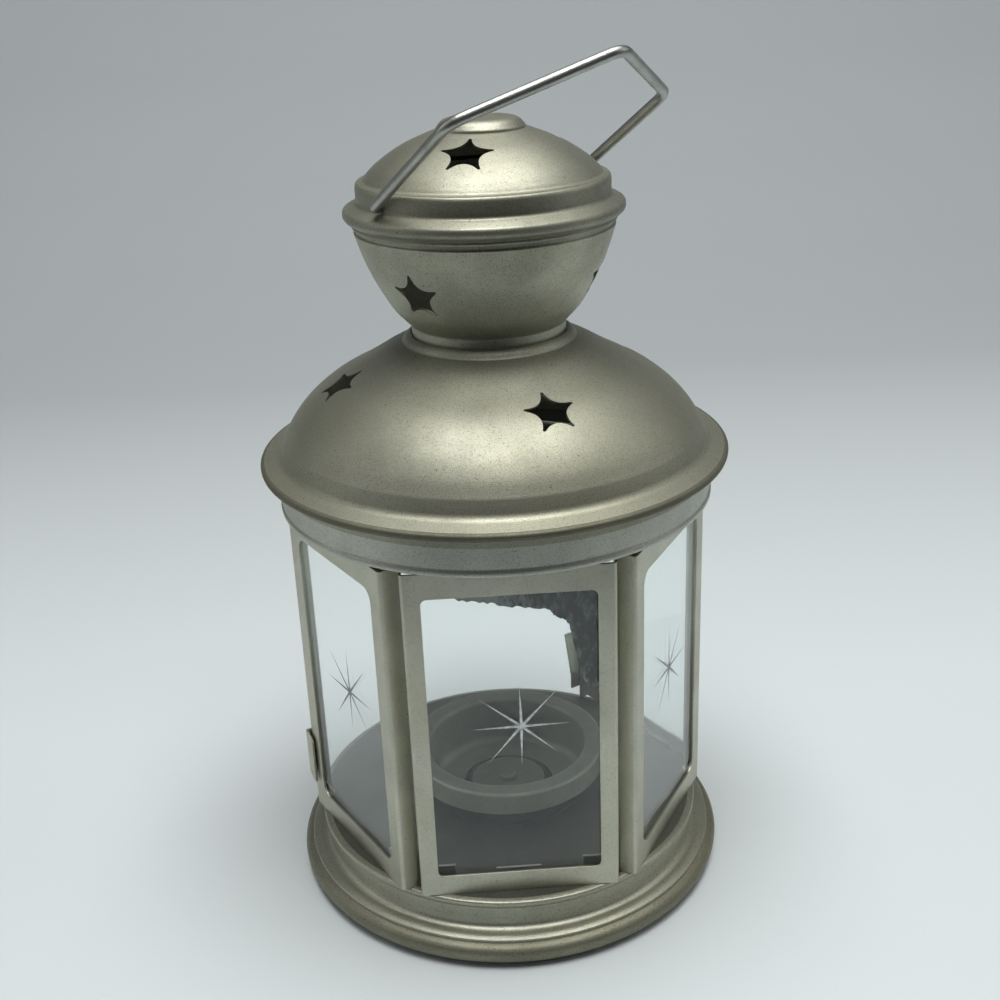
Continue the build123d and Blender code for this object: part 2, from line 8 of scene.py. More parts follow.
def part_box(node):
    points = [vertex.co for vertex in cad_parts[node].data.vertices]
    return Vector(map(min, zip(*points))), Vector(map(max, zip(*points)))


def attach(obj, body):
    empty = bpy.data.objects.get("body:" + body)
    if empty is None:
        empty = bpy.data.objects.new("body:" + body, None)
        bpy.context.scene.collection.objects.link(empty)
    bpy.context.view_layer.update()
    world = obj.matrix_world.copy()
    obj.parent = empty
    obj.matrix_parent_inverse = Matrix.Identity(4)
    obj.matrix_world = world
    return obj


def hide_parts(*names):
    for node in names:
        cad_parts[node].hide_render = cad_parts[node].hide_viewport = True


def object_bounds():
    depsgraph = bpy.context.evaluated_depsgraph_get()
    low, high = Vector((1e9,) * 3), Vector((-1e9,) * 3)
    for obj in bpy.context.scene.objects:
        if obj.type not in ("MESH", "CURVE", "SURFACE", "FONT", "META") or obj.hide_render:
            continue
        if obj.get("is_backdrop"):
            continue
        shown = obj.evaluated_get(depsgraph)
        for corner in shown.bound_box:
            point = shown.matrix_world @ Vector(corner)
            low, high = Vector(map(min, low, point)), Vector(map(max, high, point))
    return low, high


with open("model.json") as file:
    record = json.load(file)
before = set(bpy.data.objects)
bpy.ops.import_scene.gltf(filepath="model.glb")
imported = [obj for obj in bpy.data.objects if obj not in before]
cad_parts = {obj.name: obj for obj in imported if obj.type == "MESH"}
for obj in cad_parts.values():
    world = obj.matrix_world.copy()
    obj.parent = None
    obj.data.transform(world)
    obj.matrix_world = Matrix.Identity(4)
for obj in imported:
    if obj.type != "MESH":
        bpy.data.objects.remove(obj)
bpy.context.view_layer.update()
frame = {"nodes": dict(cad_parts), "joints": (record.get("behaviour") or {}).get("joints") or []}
mm = 0.001


# Foot of the base: a shallow pan of tinned sheet, spun, whose edge is rolled into the large bead that the
# lantern stands on. A fine groove runs round the top of the bead, where the roll was closed.
def tin(name, colour, dark, rough=0.4, speck=0.5, grain=2400.0, cloud=60.0, stain=0.16, rings=0.0, drawn=0.0):
    """Satin tin: cloudy tone, fine dark specks, a few flecks, and faint turning or rolling marks."""
    m = bpy.data.materials.new(name)
    m.use_nodes = True
    n, links = m.node_tree.nodes, m.node_tree.links
    shader = n["Principled BSDF"]
    shader.inputs["Metallic"].default_value = 1.0
    place = n.new("ShaderNodeTexCoord")

    def noise(scale, detail, roughness, vector):
        t = n.new("ShaderNodeTexNoise")
        t.inputs["Scale"].default_value = scale
        t.inputs["Detail"].default_value = detail
        t.inputs["Roughness"].default_value = roughness
        links.new(vector, t.inputs["Vector"])
        return t.outputs["Fac"]

    def ramp(value, low, high, start=0.0, end=1.0):
        r = n.new("ShaderNodeMapRange")
        for socket, v in zip(("From Min", "From Max", "To Min", "To Max"), (low, high, start, end)):
            r.inputs[socket].default_value = v
        links.new(value, r.inputs["Value"])
        return r.outputs["Result"]

    def blended(factor, a, b):
        mix = n.new("ShaderNodeMix")
        mix.data_type = "RGBA"
        links.new(factor, mix.inputs["Factor"])
        for socket, v in (("A", a), ("B", b)):
            if isinstance(v, tuple):
                mix.inputs[socket].default_value = (*v, 1)
            else:
                links.new(v, mix.inputs[socket])
        return mix.outputs["Result"]

    def bumped(height, strength, distance, after=None):
        b = n.new("ShaderNodeBump")
        b.inputs["Strength"].default_value = strength
        b.inputs["Distance"].default_value = distance
        links.new(height, b.inputs["Height"])
        if after:
            links.new(after, b.inputs["Normal"])
        return b.outputs[0]

    spot = place.outputs["Object"]
    clouds = noise(cloud, 5.0, 0.6, spot)
    blots = noise(cloud * 0.45, 3.0, 0.55, spot)
    grains = noise(grain, 2.0, 0.75, spot)
    flecks = n.new("ShaderNodeTexVoronoi")
    flecks.inputs["Scale"].default_value = 190.0
    links.new(spot, flecks.inputs["Vector"])
    tone = blended(ramp(clouds, 0.38, 0.66), colour, tuple(c * (1 - stain) for c in colour))
    aged = tuple(c * w for c, w in zip(colour, (0.93, 0.92, 0.86)))
    tone = blended(ramp(blots, 0.45, 0.72, 0.0, 0.7), tone, aged)
    peppered = ramp(grains, 0.54, 0.69, 0.0, speck)
    spotted = ramp(flecks.outputs["Distance"], 0.06, 0.035, 0.0, 0.5)
    marks = n.new("ShaderNodeMath")
    marks.operation = "MAXIMUM"
    links.new(peppered, marks.inputs[0])
    links.new(spotted, marks.inputs[1])
    links.new(blended(marks.outputs[0], tone, dark), shader.inputs["Base Color"])
    dull = n.new("ShaderNodeMath")
    dull.operation = "MULTIPLY_ADD"
    dull.inputs[1].default_value = 0.22
    links.new(marks.outputs[0], dull.inputs[0])
    links.new(ramp(clouds, 0.3, 0.75, rough, rough + 0.1), dull.inputs[2])
    links.new(dull.outputs[0], shader.inputs["Roughness"])

    surface = bumped(clouds, 0.3, 0.5 * mm)
    surface = bumped(grains, 0.3, 0.12 * mm, surface)
    if rings or drawn:
        parts = n.new("ShaderNodeSeparateXYZ")
        links.new(spot, parts.inputs[0])
        lined = n.new("ShaderNodeCombineXYZ")
        if rings:
            flat = n.new("ShaderNodeCombineXYZ")
            links.new(parts.outputs["X"], flat.inputs["X"])
            links.new(parts.outputs["Y"], flat.inputs["Y"])
            away = n.new("ShaderNodeVectorMath")
            away.operation = "LENGTH"
            links.new(flat.outputs[0], away.inputs[0])
            links.new(away.outputs["Value"], lined.inputs["X"])
            links.new(parts.outputs["Z"], lined.inputs["Y"])
        else:
            squeezed = n.new("ShaderNodeMath")
            squeezed.operation = "MULTIPLY"
            squeezed.inputs[1].default_value = 0.05
            links.new(parts.outputs["Z"], squeezed.inputs[0])
            links.new(parts.outputs["X"], lined.inputs["X"])
            links.new(parts.outputs["Y"], lined.inputs["Y"])
            links.new(squeezed.outputs[0], lined.inputs["Z"])
        surface = bumped(noise(1100.0, 2.0, 0.6, lined.outputs[0]), rings or drawn, 0.1 * mm, surface)
    links.new(surface, shader.inputs["Normal"])
    return m


def eased(points, steps=6):
    """The line of points, with each corner that has a third value, its bend, rounded over."""
    line = [Vector(points[0][:2])]
    for before, here, after in zip(points, points[1:], points[2:]):
        corner = Vector(here[:2])
        if len(here) < 3:
            line.append(corner)
            continue
        back, on = Vector(before[:2]) - corner, Vector(after[:2]) - corner
        a = corner + back.normalized() * min(here[2], back.length * 0.5)
        b = corner + on.normalized() * min(here[2], on.length * 0.5)
        shares = [i / steps for i in range(steps + 1)]
        bow = [a * (1 - t) ** 2 + corner * 2 * t * (1 - t) + b * t * t for t in shares]
        line += [p for p in bow if (p - line[-1]).length > 0.01 * mm]
    return line + [Vector(points[-1][:2])]


def swept(points, steps=7):
    """A smooth line through all the points."""
    ends = [2 * points[0] - points[1], *points, 2 * points[-1] - points[-2]]
    line = []
    for a, b, c, d in zip(ends, ends[1:], ends[2:], ends[3:]):
        for t in (i / steps for i in range(steps)):
            line.append(0.5 * (2 * b + (c - a) * t + (2 * a - 5 * b + 4 * c - d) * t * t
                               + (3 * b - 3 * c + d - a) * t ** 3))
    return line + [points[-1]]


def backed(line, gauge):
    """The closed section of a sheet whose outer face is the line; the metal is on its right for a gauge > 0."""
    inner = []
    for k, p in enumerate(line):
        ways = [(b - a).normalized() for a, b in zip(line[max(k - 1, 0):k + 1], line[k or 1:k + 2])]
        squares = [Vector((w.y, -w.x)) for w in ways]
        middle = sum(squares, Vector((0, 0))).normalized()
        inner.append(p + middle * gauge / max(middle.dot(squares[0]), 0.6))
    for k in (0, -1):
        if line[k].x == 0:
            inner[k].x = 0
    return line + inner[::-1]


def shown(name, bm, material, slot, *nodes, body="lantern", crease=35):
    """The finished piece, smooth but for its creases, in place of its CAD nodes."""
    mesh = bpy.data.meshes.new(name)
    bm.to_mesh(mesh)
    bm.free()
    mesh.shade_smooth()
    mesh.set_sharp_from_angle(angle=radians(crease))
    mesh.materials.append(material)
    piece = bpy.data.objects.new(name, mesh)
    bpy.context.collection.objects.link(piece)
    flats = piece.modifiers.new("flats", "WEIGHTED_NORMAL")
    flats.keep_sharp = True
    flats.weight = 90
    if nodes:
        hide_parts(*nodes)
    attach(piece, body)
    return piece


def spun(section, turns=144):
    """A closed section turned about the lantern's axis, with the edge that lies on the axis left out."""
    bm = bmesh.new()
    verts = [bm.verts.new((p.x, 0, p.y)) for p in section]
    pairs = [(a, b) for a, b in zip(verts, verts[1:] + verts[:1]) if a.co.x > 0 or b.co.x > 0]
    edges = [bm.edges.new(pair) for pair in pairs]
    bmesh.ops.spin(bm, geom=verts + edges, cent=(0, 0, 0), axis=(0, 0, 1), angle=2 * pi, steps=turns,
                   use_merge=True)
    bmesh.ops.remove_doubles(bm, verts=bm.verts, dist=0.002 * mm)
    bmesh.ops.recalc_face_normals(bm, faces=bm.faces)
    return bm


sheet = 0.6 * mm
base_tin = tin("base tin", (0.43, 0.43, 0.35), (0.10, 0.095, 0.075), rough=0.4, rings=0.2)
foot_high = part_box("base_foot")[1]
bead = foot_high[0]
flange = foot_high[2]
roll = 2.55 * mm
pan = 1.6 * mm
groove = flange - 0.35 * mm
rolled = [(bead - roll + roll * cos(radians(a)), flange - roll + roll * sin(radians(a)))
          for a in range(84, -85, -12)]
rim_line = eased([(bead - 4.4 * mm, flange), (bead - 2.65 * mm, flange, 0.1 * mm),
                  (bead - 2.6 * mm, groove), (bead - 2.4 * mm, groove), *rolled,
                  (bead - 2.4 * mm, 1.0 * mm, 0.2 * mm), (bead - 2.55 * mm, 0.1 * mm, 0.2 * mm),
                  (bead - 3.2 * mm, 0, 0.3 * mm), (bead - 5.6 * mm, pan, 0.8 * mm), (0, pan)])
# The foot's tin is darker and duller than the rest: partly a duller, worn finish, partly painted shade for the
# shadow and dark reflection along the bead.
foot_tin_and_shade = tin("foot tin and shade", (0.27, 0.265, 0.20), (0.08, 0.075, 0.055), rough=0.5, speck=0.6, rings=0.15)
shown("foot", spun(backed(rim_line, sheet)), foot_tin_and_shade, "base_sheet", "base_foot")

# Plinth: spun sheet with a ledge, a cove, a straight wall, a rounded lip and the flat floor of the cage. It
# stands in the foot, and a short tab of the front panel is bent flat on its floor.
plinth_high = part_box("base_plinth")[1]
ledge = plinth_high[0]
floor = plinth_high[2]
wall = ledge - 4.3 * mm
step = flange + 1.2 * mm
plinth_line = eased([(ledge, flange), (ledge, flange + 0.75 * mm, 0.35 * mm), (wall + 3.0 * mm, step, 0.8 * mm),
                     (wall + 1.2 * mm, step, 0.6 * mm), (wall + 0.25 * mm, flange + 2.0 * mm, 0.6 * mm),
                     (wall, flange + 3.4 * mm, 0.8 * mm), (wall, floor - 2.0 * mm, 0.5 * mm),
                     (wall + 0.8 * mm, floor - 1.5 * mm, 0.4 * mm),
                     (wall + 0.85 * mm, floor - 0.2 * mm, 0.6 * mm),
                     (wall - 0.4 * mm, floor, 0.4 * mm), (0, floor)], 8)
plinth = shown("plinth", spun(backed(plinth_line, -sheet)), base_tin, "base_sheet", "base_plinth")
# The floor inside the cage gets a darker, duller tin: partly a duller finish, partly painted shade under the roof.
floor_tin_and_shade = tin("floor tin and shade", (0.17, 0.175, 0.15), (0.05, 0.05, 0.04), rough=0.5, speck=0.35, stain=0.25)
plinth.data.materials.append(floor_tin_and_shade)
for face in plinth.data.polygons:
    if face.center.z > floor - 0.05 * mm and face.center.xy.length < wall - 1.5 * mm:
        face.material_index = 1

front_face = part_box("panel_front")[0][1]
# The tab's tin is pale and hardly metallic, so that it shows as a light line on the shaded floor: a painted
# highlight of its edge.
tab_highlight_tin = tin("tab highlight tin", (0.42, 0.43, 0.39), (0.2, 0.2, 0.18), rough=0.4, speck=0.2)
tab_highlight_tin.node_tree.nodes["Principled BSDF"].inputs["Metallic"].default_value = 0.2
tab_place = Matrix.Translation((0.1 * mm, front_face + 9.1 * mm, floor + 0.25 * mm))
tab_size = Matrix.Diagonal((11 * mm, 0.5 * mm, 0.4 * mm, 1))
bm = bmesh.new()
bmesh.ops.create_cube(bm, size=1, matrix=tab_place @ tab_size)
bmesh.ops.bevel(bm, geom=bm.edges[:], offset=0.14 * mm, segments=3, affect="EDGES")
shown("floor_tab", bm, tab_highlight_tin, "base_sheet")

# Candle cup: spun sheet with a deep skirt, a broad rolled lip, a straight wall with a rounded corner and a
# raised centre. A round-headed rivet holds it to the floor.
cup_tin = tin("cup tin", (0.34, 0.35, 0.30), (0.09, 0.09, 0.07), rough=0.5, speck=0.3, rings=0.12)
cup_tin.node_tree.nodes["Principled BSDF"].inputs["Metallic"].default_value = 0.6
cup_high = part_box("candle_cup")[1]
lip = cup_high[0]
lip_top = cup_high[2]
skirt = 5.8 * mm
well = lip - 4.9 * mm
cup_floor = floor + sheet
boss = cup_floor + 1.1 * mm
cup_line = eased([(lip, lip_top - skirt), (lip, lip_top - 0.1 * mm, 0.9 * mm), (lip - 2.4 * mm, lip_top, 1.0 * mm),
                  (well, lip_top - 0.2 * mm, 1.2 * mm), (well, cup_floor, 2.6 * mm),
                  (lip - 14.0 * mm, cup_floor, 0.6 * mm), (lip - 15.0 * mm, boss, 0.6 * mm), (1.3 * mm, boss)], 8)
cup = shown("cup", spun(backed(cup_line, -sheet)), cup_tin, "cup_sheet", "candle_cup")
# Painted shade: the cup's wall below the skirt gets a near-black tin for the shadow under the skirt.
cup_skirt_shade_tin = tin("cup skirt shade tin", (0.06, 0.06, 0.05), (0.02, 0.02, 0.015), rough=0.6, speck=0.3)
cup.data.materials.append(cup_skirt_shade_tin)
for face in cup.data.polygons:
    outward = face.normal.xy.dot(face.center.xy) > 0.001 * mm
    if outward and face.center.z < lip_top - 1.5 * mm and face.center.xy.length < lip - 1.5 * mm:
        face.material_index = 1

rivet_low, rivet_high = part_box("cup_rivet")
head = rivet_high[0]
clench = rivet_low[2]
clench_top = clench + 1.2 * mm
shank = 1.2 * mm
rivet_line = eased([(0, clench), (head, clench), (head, clench_top), (shank, clench_top), (shank, boss),
                    (head, boss, 0.2 * mm), (head, rivet_high[2], 1.5 * mm), (0, rivet_high[2])], 8)
shown("rivet", spun(rivet_line, 48), cup_tin, "cup_sheet", "cup_rivet")


# Panels of the cage: one sheet each, its window punched out and its sides bent back, so that the cut edges
# catch the light. The front and rear right ones stand back a little from the pressed ones beside them.
def softened(node, edge):
    """A copy of a CAD node's mesh with its cut edges rounded over."""
    bm = bmesh.new()
    bm.from_mesh(frame["nodes"][node].data)
    bmesh.ops.remove_doubles(bm, verts=bm.verts, dist=0.001 * mm)
    bmesh.ops.dissolve_limit(bm, angle_limit=radians(0.5), verts=bm.verts, edges=bm.edges)
    cut = [e for e in bm.edges if e.is_manifold and e.calc_face_angle(0) > radians(50)]
    bmesh.ops.bevel(bm, geom=cut, offset=edge, segments=2, profile=0.5, affect="EDGES", clamp_overlap=True)
    return bm


cage_tin = tin("cage tin", (0.51, 0.505, 0.42), (0.13, 0.125, 0.10), rough=0.38, speck=0.28, drawn=0.25)
sides = {"front": 0, "right": 60, "rear_right": 120, "left": 300}
for side in sides:
    shown(f"panel.{side}", softened(f"panel_{side}", 0.12 * mm), cage_tin, "cage_sheet", f"panel_{side}")
    shown(f"clips.{side}", softened(f"clips_{side}", 0.08 * mm), cage_tin, "cage_sheet", f"clips_{side}")

# Panes: clear float glass behind each window, with an eight-rayed star cut by a wheel into the face of all
# but the rear right one. The cuts are left matt; their tone is painted light and shade: a painted bright tone
# on the front star, over a dark ground, and a painted grey on the side ones, over a pale one.
clear = bpy.data.materials.new("clear glass")
clear.use_nodes = True
n, links = clear.node_tree.nodes, clear.node_tree.links
shader = n["Principled BSDF"]
shader.inputs["Base Color"].default_value = (0.95, 0.99, 0.98, 1)
shader.inputs["Transmission Weight"].default_value = 1.0
shader.inputs["IOR"].default_value = 1.45
shader.inputs["Roughness"].default_value = 0.02
passed = n.new("ShaderNodeBsdfTransparent")
path = n.new("ShaderNodeLightPath")
mix = n.new("ShaderNodeMixShader")
links.new(path.outputs["Is Shadow Ray"], mix.inputs[0])
links.new(shader.outputs[0], mix.inputs[1])
links.new(passed.outputs[0], mix.inputs[2])
links.new(mix.outputs[0], n["Material Output"].inputs[0])


def ground(name, tone):
    """Glass left matt by the wheel, with a fine grain."""
    m = bpy.data.materials.new(name)
    m.use_nodes = True
    n, links = m.node_tree.nodes, m.node_tree.links
    shader = n["Principled BSDF"]
    shader.inputs["Specular IOR Level"].default_value = 0.8
    shader.inputs["Roughness"].default_value = 0.28
    place = n.new("ShaderNodeTexCoord")
    grain = n.new("ShaderNodeTexNoise")
    grain.inputs["Scale"].default_value = 900.0
    links.new(place.outputs["Object"], grain.inputs["Vector"])
    shade = n.new("ShaderNodeValToRGB")
    shade.color_ramp.elements[0].position = 0.35
    shade.color_ramp.elements[0].color = (*(0.6 * c for c in tone), 1)
    shade.color_ramp.elements[1].position = 0.6
    shade.color_ramp.elements[1].color = (*tone, 1)
    links.new(grain.outputs["Fac"], shade.inputs["Fac"])
    links.new(shade.outputs["Color"], shader.inputs["Base Color"])
    return m


# Painted light and shade: the front star's cut gets a bright tone and the side ones a dark grey.
front_cut_painted_lit, side_cut_painted_shade = ground("front cut painted lit", (0.85, 0.90, 0.89)), ground("side cut painted shade", (0.27, 0.30, 0.295))
star_height = 60 * mm
cut_width = 0.36 * mm
cut_start = 0.6 * mm
rays = ((1, 11.3), (47.5, 12.3), (91, 11.2), (141, 12.4), (181, 11.4), (230, 12.2), (269, 10.4), (318, 10.8))
star_sides = {"front": 1.6 * mm, "right": 0.4 * mm, "left": 2.0 * mm}
for side, turn in sides.items():
    bm = softened(f"glass_{side}", 0.1 * mm)
    pane = shown(f"pane.{side}", bm, clear, "glass", f"glass_{side}", crease=20)
    if side not in star_sides:
        continue
    depth = max(v.co.x * sin(radians(turn)) - v.co.y * cos(radians(turn)) for v in pane.data.vertices)
    bm = bmesh.new()
    for angle, ray in rays:
        way = Vector((cos(radians(angle)), sin(radians(angle))))
        across = Vector((-way.y, way.x))
        ends = (way * cut_start - across * cut_width, way * ray * mm, way * cut_start + across * cut_width)
        low = [bm.verts.new((p.x, -0.02 * mm, p.y)) for p in ends]
        tip = bm.verts.new((way.x * cut_start, -0.14 * mm, way.y * cut_start))
        heart = bm.verts.new((0, -0.04 * mm, 0))
        for a, b, c in ((low[0], low[1], tip), (low[1], low[2], tip), (low[2], heart, tip), (heart, low[0], tip),
                        (low[0], heart, low[1]), (low[1], heart, low[2])):
            bm.faces.new((a, b, c))
    bmesh.ops.recalc_face_normals(bm, faces=bm.faces)
    on_pane = Matrix.Translation((star_sides[side], 0.03 * mm - depth, star_height))
    bmesh.ops.transform(bm, matrix=Matrix.Rotation(radians(turn), 4, "Z") @ on_pane, verts=bm.verts)
    shown(f"star.{side}", bm, front_cut_painted_lit if side == "front" else side_cut_painted_shade, "glass")

# Soot: a grey film that smoke has left inside the front pane, along its top and down its right edge. Its
# lower edge is ragged.
soot = bpy.data.materials.new("soot film")
soot.use_nodes = True
n, links = soot.node_tree.nodes, soot.node_tree.links
shader = n["Principled BSDF"]
shader.inputs["Roughness"].default_value = 0.7
shader.inputs["Alpha"].default_value = 0.97
place = n.new("ShaderNodeTexCoord")
spread = n.new("ShaderNodeTexNoise")
spread.inputs["Scale"].default_value = 330.0
spread.inputs["Detail"].default_value = 7.0
spread.inputs["Roughness"].default_value = 0.78
drawn_down = n.new("ShaderNodeVectorMath")
drawn_down.operation = "MULTIPLY"
drawn_down.inputs[1].default_value = (1.25, 1.0, 0.5)
links.new(place.outputs["Object"], drawn_down.inputs[0])
links.new(drawn_down.outputs[0], spread.inputs["Vector"])
parts = n.new("ShaderNodeSeparateXYZ")
links.new(place.outputs["Object"], parts.inputs[0])
fade = n.new("ShaderNodeMapRange")
for socket, v in zip(("From Min", "From Max", "To Min", "To Max"), (-11 * mm, 7 * mm, 0.36, -0.03)):
    fade.inputs[socket].default_value = v
links.new(parts.outputs["X"], fade.inputs["Value"])
total = n.new("ShaderNodeMath")
links.new(spread.outputs["Fac"], total.inputs[0])
links.new(fade.outputs["Result"], total.inputs[1])
shade = n.new("ShaderNodeValToRGB")
shade.color_ramp.elements[0].position = 0.47
shade.color_ramp.elements[0].color = (0.006, 0.012, 0.008, 1)
shade.color_ramp.elements[1].position = 0.70
shade.color_ramp.elements[1].color = (0.50, 0.56, 0.53, 1)
links.new(total.outputs[0], shade.inputs["Fac"])
links.new(shade.outputs["Color"], shader.inputs["Base Color"])

glass_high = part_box("glass_front")[1]
top = glass_high[2] - 0.6 * mm
edge = glass_high[0] - 0.6 * mm
soot_back, soot_front = glass_high[1] + 0.04 * mm, glass_high[1] + 0.02 * mm
lower = swept([Vector((x * mm, z * mm)) for x, z in (
    (-15, 93.4), (-10, 91.8), (-5, 90.9), (0, 89.9), (5, 88.9), (8.6, 88.3), (10.4, 86.6),
    (12.4, 85.2), (13.4, 83.4), (14.2, 78), (15.6, 72), (17.6, 68.6), (20.8, 67.6))], 6)
bm = bmesh.new()
rows = []
for k, p in enumerate(lower):
    x, z = min(p.x + 0.2 * mm * sin(31.0 * k), edge), p.y + 0.3 * mm * sin(17.0 * k * k)
    rows.append([[bm.verts.new((x, y, height)) for height in (z, top)] for y in (soot_back, soot_front)])
for (a, b), (c, d) in zip(rows, rows[1:]):
    for near, far in ((a, c), (d, b)):
        bm.faces.new((near[0], far[0], far[1], near[1]))
    bm.faces.new((a[0], b[0], d[0], c[0]))
    bm.faces.new((a[1], c[1], d[1], b[1]))
for a, b in (rows[0], rows[-1]):
    bm.faces.new((a[0], a[1], b[1], b[0]))
bmesh.ops.recalc_face_normals(bm, faces=bm.faces)
shown("soot", bm, soot, "glass")

# Ears: two small pieces of sheet soldered to the rear posts, one hooked round the left post and one that
# reaches into the open back.
for name in ("left", "right"):
    shown(f"ear.{name}", softened(f"{name}_ear", 0.1 * mm), cage_tin, "cage_sheet", f"{name}_ear")

# Ring: a plate of sheet cut to fit inside the panels, which closes the cage. The web of the roof's collar
# rests on its upturned lip.
shown("top_ring", softened("cage_ring", 0.1 * mm), cage_tin, "cage_sheet", "cage_ring")

# Roof collar: a rolled band of sheet with a bead round its lower edge. A web turned in from it lies on the
# ring's lip, and its upper edge stands in the dome's skirt.
collar_low, collar_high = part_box("roof_collar")
ring_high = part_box("cage_ring")[1]
bead = collar_high[0]
band = bead - 0.35 * mm
lining = band - sheet
web_edge = band - 10.4 * mm
hem = collar_low[2]
web = ring_high[2]
collar_line = eased([(lining, hem, 0.1 * mm), (bead, hem, 0.45 * mm), (bead, hem + 1.1 * mm, 0.4 * mm),
                     (band, hem + 1.5 * mm, 0.4 * mm), (band, collar_high[2], 0.15 * mm),
                     (lining, collar_high[2], 0.15 * mm), (lining, web + sheet, 0.5 * mm),
                     (web_edge, web + sheet), (web_edge, web), (lining, web, 0.3 * mm), (lining, hem)], 5)
collar_tin = tin("collar tin", (0.52, 0.53, 0.475), (0.08, 0.08, 0.065), rough=0.46, speck=0.7, grain=4300.0,
                 rings=0.06)
shown("collar", spun(collar_line[:-1]), collar_tin, "roof_sheet", "roof_collar")


# Roof dome: spun sheet with a low ring round the neck, a broad shoulder, a rolled rim and a short skirt over
# the collar. Four five-pointed stars are punched in it.
def punched(name, bm, stars, radius, waist):
    """The mesh with star-shaped holes, whose sides bow in: each has a turn, a distance out, a height and a tilt."""
    mesh = bpy.data.meshes.new(name)
    bm.to_mesh(mesh)
    bm.free()
    holder = bpy.data.objects.new(name, mesh)
    bpy.context.collection.objects.link(holder)
    cutter = bmesh.new()
    blunt = 0.05
    tips = [[Vector((radius * sin(2 * pi * k / 5 + w), radius * cos(2 * pi * k / 5 + w))) for w in (-blunt, blunt)]
            for k in range(6)]
    shares = [i / 10 for i in range(11)]
    for turn, out, height, tilt in stars:
        side = Vector((cos(radians(turn)), sin(radians(turn)), 0))
        away = Vector((sin(radians(turn)), -cos(radians(turn)), 0))
        axis = away * cos(radians(tilt)) + Vector((0, 0, 1)) * sin(radians(tilt))
        up = axis.cross(side)
        rim = []
        for (_, start), (end, _) in zip(tips, tips[1:]):
            pull = (start + end).normalized() * (2 * waist - radius * cos(pi / 5 - blunt))
            rim += [start * (1 - t) ** 2 + pull * 2 * t * (1 - t) + end * t * t for t in shares]
        middle = away * out + Vector((0, 0, height))
        low = [cutter.verts.new(middle - axis * radius + side * p.x + up * p.y) for p in rim]
        face = cutter.faces.new(low)
        lifted = bmesh.ops.extrude_face_region(cutter, geom=[face])
        moved = [v for v in lifted["geom"] if isinstance(v, bmesh.types.BMVert)]
        bmesh.ops.translate(cutter, vec=axis * 2 * radius, verts=moved)
    bmesh.ops.recalc_face_normals(cutter, faces=cutter.faces)
    tool_mesh = bpy.data.meshes.new(f"{name} punch")
    cutter.to_mesh(tool_mesh)
    cutter.free()
    tool = bpy.data.objects.new(f"{name} punch", tool_mesh)
    bpy.context.collection.objects.link(tool)
    cut = holder.modifiers.new("stars", "BOOLEAN")
    cut.operation = "DIFFERENCE"
    cut.solver = "EXACT"
    cut.object = tool
    bpy.context.view_layer.update()
    result = bmesh.new()
    result.from_object(holder, bpy.context.evaluated_depsgraph_get())
    for spare in (holder, tool):
        bpy.data.objects.remove(spare)
    bmesh.ops.remove_doubles(result, verts=result.verts, dist=0.002 * mm)
    return result


roof_tin = tin("roof tin", (0.37, 0.37, 0.295), (0.06, 0.06, 0.045), rough=0.48, speck=0.75, grain=4300.0,
               rings=0.06)
dome_low, dome_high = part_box("roof_dome")
star_radius = 5.9 * mm
star_waist = 3.35 * mm
rim = dome_high[0]
neck_top = dome_high[2]
dome_top = neck_top - 1.9 * mm
brim = dome_top - 24.85 * mm
skirt = rim - 3.55 * mm
shoulder = [Vector((r * mm, dome_top + z * mm)) for r, z in (
    (20.9, -0.15), (24.6, -1.75), (30.6, -5.3), (37.8, -9.15), (43.1, -13.15), (46.8, -17.15), (49.5, -21.3))]
dome_line = eased([(18.2 * mm, neck_top - 0.25 * mm), (18.6 * mm, neck_top, 0.3 * mm),
                   (19.6 * mm, neck_top - 0.65 * mm, 0.8 * mm), (20.3 * mm, dome_top + 0.05 * mm, 0.5 * mm),
                   tuple(shoulder[0])])[:-1]
dome_line += swept(shoulder)[:-1]
dome_line += eased([tuple(shoulder[-1]), (rim - 4.9 * mm, brim, 1.2 * mm),
                    (rim - 1.6 * mm, brim - 1.0 * mm, 0.7 * mm), (rim, brim - 1.5 * mm, 0.7 * mm),
                    (rim, brim - 2.9 * mm, 0.7 * mm), (rim - 1.2 * mm, brim - 3.5 * mm, 0.7 * mm),
                    (skirt, brim - 3.6 * mm, 0.5 * mm), (skirt, dome_low[2])], 7)
dome_stars = [(turn, 35.6 * mm, 130.7 * mm, 60) for turn in (18, 116, 198, 280.2)]
bm = punched("dome", spun(backed(dome_line, sheet)), dome_stars, star_radius, star_waist)
dome = shown("dome", bm, roof_tin, "roof_sheet", "roof_dome")
# Painted shade: the outer face of the rolled rim gets a much darker tin for the dark reflection it shows from the
# front; the bend below keeps the roof tin.
rim_shade_tin = tin("rim shade tin", (0.19, 0.185, 0.14), (0.06, 0.06, 0.045), rough=0.6, speck=0.6, grain=4300.0)
dome.data.materials.append(rim_shade_tin)
for face in dome.data.polygons:
    if face.center.xy.length > rim - 0.9 * mm and brim - 3.0 * mm < face.center.z < brim - 1.2 * mm:
        face.material_index = 1

